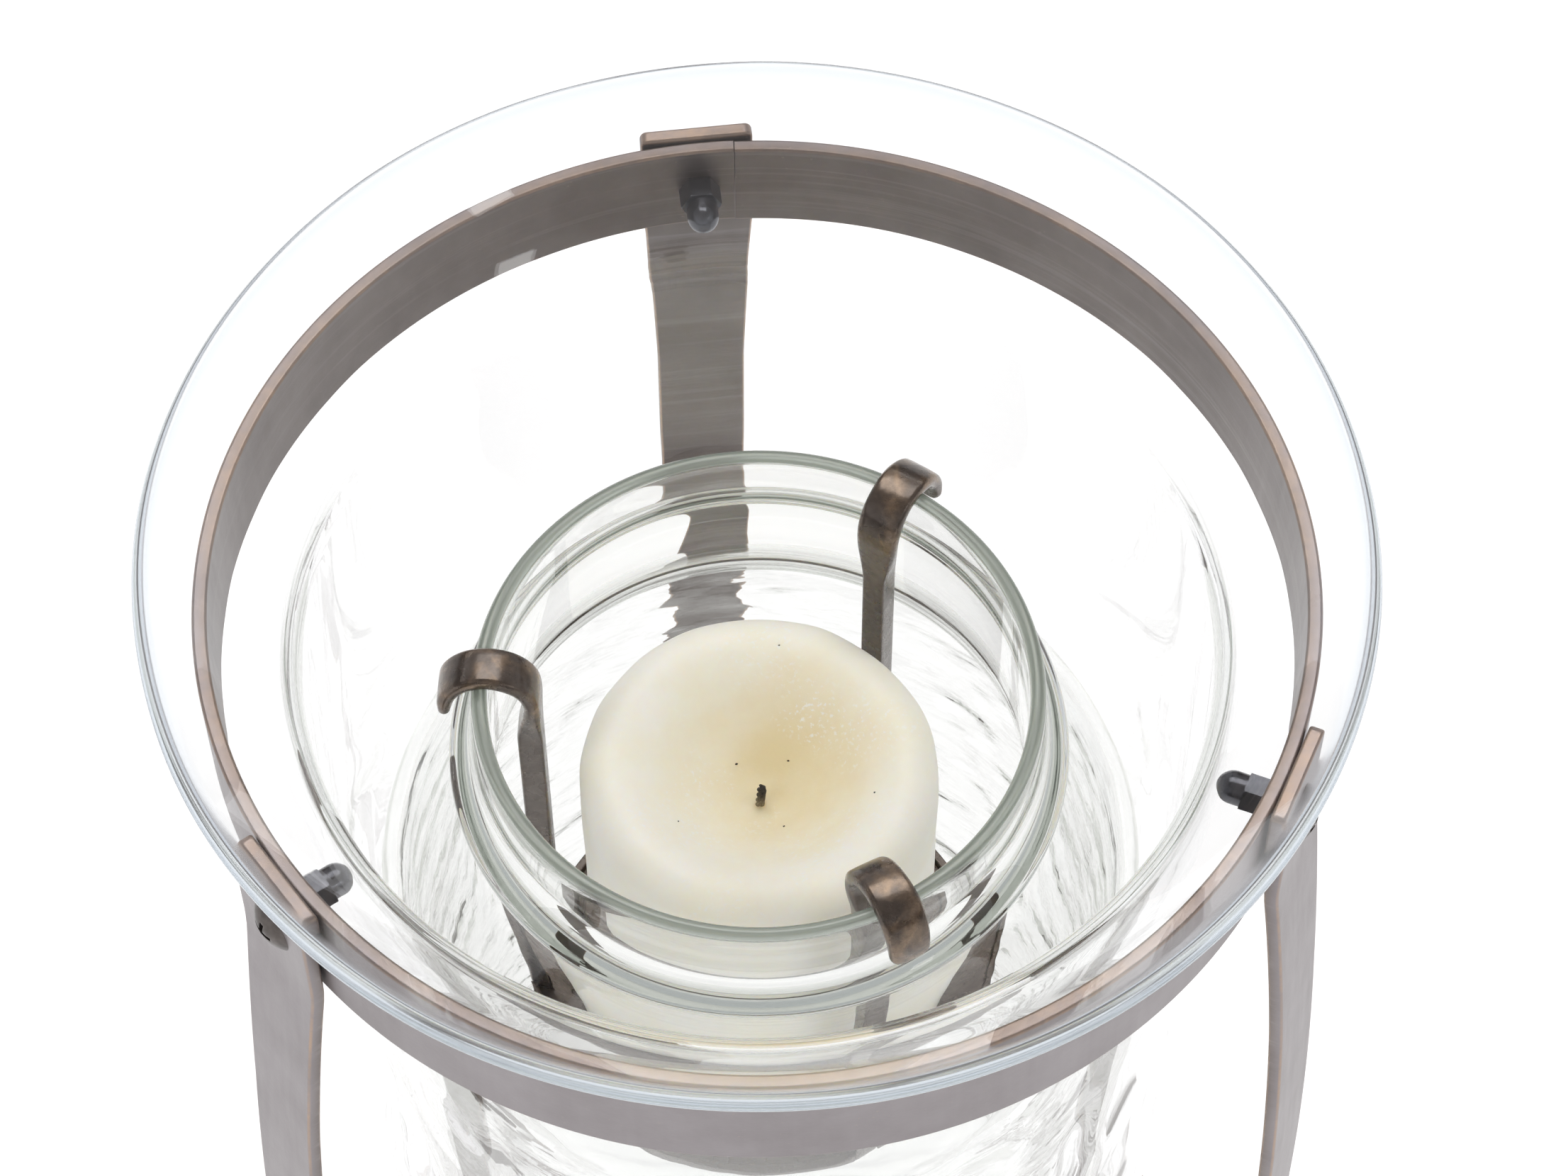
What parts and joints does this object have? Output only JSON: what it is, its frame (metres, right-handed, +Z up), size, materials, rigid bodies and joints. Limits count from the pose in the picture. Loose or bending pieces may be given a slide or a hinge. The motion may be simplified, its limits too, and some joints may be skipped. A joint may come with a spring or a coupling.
{
  "type": "hurricane candle lantern",
  "caption": "Flared glass hurricane in a strap stand with bowed legs, holding a shouldered jar whose hooked cradle carries a pillar candle.",
  "frame": {"origin": "on the lantern's axis, on the surface that its three feet stand on", "axes": "+Z up along the axis, +Y from the axis towards the back leg, +X to the right"},
  "size_m": [0.2539, 0.2589, 0.427],
  "materials": {
    "strap_bronze": "satin dark bronze",
    "forged_bronze": "dark bronze rubbed to gold on its edges",
    "dark_screws": "blackened, satin",
    "dark_nuts": "blackened, glossy",
    "clear_glass": "clear, rippled below the flare",
    "jar_glass": "clear, faintly green, rippled below the shoulder",
    "ivory_wax": "waxy, translucent",
    "charred_wick": "charred cotton",
    "tab_metal": "plain"
  },
  "bodies": {
    "stand": {"top_hoop": "strap_bronze", "bottom_hoop": "strap_bronze", "leg_back": "strap_bronze", "leg_left": "strap_bronze", "leg_right": "strap_bronze", "top_screws": "dark_screws", "top_acorn_nuts": "dark_nuts", "bottom_screws": "dark_screws", "bottom_acorn_nuts": "dark_nuts"},
    "hurricane": {"hurricane_glass": "clear_glass"},
    "jar": {"candle_jar": "jar_glass"},
    "cradle": {"hanger_back": "forged_bronze", "hanger_left": "forged_bronze", "hanger_front": "forged_bronze", "candle_pan": "forged_bronze", "pan_rivets": "dark_screws"},
    "candle": {"candle_wax": "ivory_wax", "wick": "charred_wick", "wick_tab": "tab_metal"}
  },
  "joints": [
    {"name": "glass_lift", "type": "slide", "parent": "stand", "child": "hurricane", "axis": [0, 0, 1], "range_m": [0, 0.35]},
    {"name": "jar_lift", "type": "slide", "parent": "hurricane", "child": "jar", "axis": [0, 0, 1], "range_m": [0, 0.36]},
    {"name": "cradle_lift", "type": "slide", "parent": "jar", "child": "cradle", "axis": [0, 0, 1], "range_m": [0, 0.15]},
    {"name": "candle_lift", "type": "slide", "parent": "cradle", "child": "candle", "axis": [0, 0, 1], "range_m": [0, 0.15]}
  ]
}
